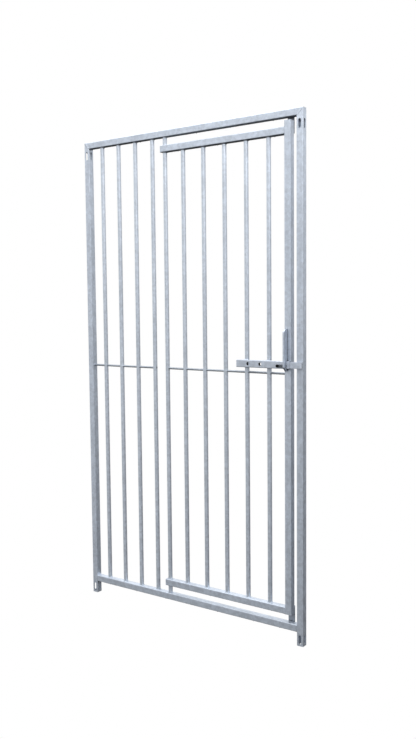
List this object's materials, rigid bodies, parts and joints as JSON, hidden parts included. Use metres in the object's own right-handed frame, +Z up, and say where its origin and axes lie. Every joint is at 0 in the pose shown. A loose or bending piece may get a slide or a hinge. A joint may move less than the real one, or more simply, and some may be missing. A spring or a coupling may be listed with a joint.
{
  "type": "barred kennel gate panel",
  "caption": "Galvanised barred panel with an inward-opening barred door, a slide latch with an upright fin handle, and slotted posts for joining panels.",
  "frame": {"origin": "bottom centre of the closed panel's outer box, on the ground between the two posts", "axes": "+Z up, +X to the right as seen from the front, +Y to the back (the side the door opens to)"},
  "size_m": [1, 0.053, 1.84],
  "materials": {
    "galvanised_tube": "hot-dip galvanised, satin, softly mottled",
    "galvanised_round": "hot-dip galvanised, satin, softly mottled",
    "galvanised_flat": "hot-dip galvanised, satin, softly mottled"
  },
  "bodies": {
    "frame": {"post_left": "galvanised_tube", "post_right": "galvanised_tube", "top_rail": "galvanised_tube", "bottom_rail": "galvanised_tube", "fixed_bar_1": "galvanised_round", "fixed_bar_2": "galvanised_round", "fixed_bar_3": "galvanised_round", "fixed_bar_4": "galvanised_round", "fixed_cross_rod": "galvanised_round"},
    "door": {"pivot_bar": "galvanised_round", "door_bottom_rail": "galvanised_tube", "door_top_rail": "galvanised_tube", "door_bar_1": "galvanised_round", "door_bar_2": "galvanised_round", "door_bar_3": "galvanised_round", "door_bar_4": "galvanised_round", "door_bar_5": "galvanised_round", "door_cross_rod": "galvanised_round", "lock_stile": "galvanised_tube", "stop_plate_top": "galvanised_flat", "stop_plate_bottom": "galvanised_flat", "latch_housing": "galvanised_flat"},
    "latch": {"slide_bolt": "galvanised_flat", "bolt_handle": "galvanised_flat"}
  },
  "joints": [
    {"name": "door_swing", "type": "hinge", "parent": "frame", "child": "door", "pos_m": [-0.0957, 0.01, 0], "axis": [0, 0, 1], "range_deg": [0, 150]},
    {"name": "latch_slide", "type": "slide", "parent": "door", "child": "latch", "axis": [-1, 0, 0], "range_m": [0, 0.032]}
  ]
}
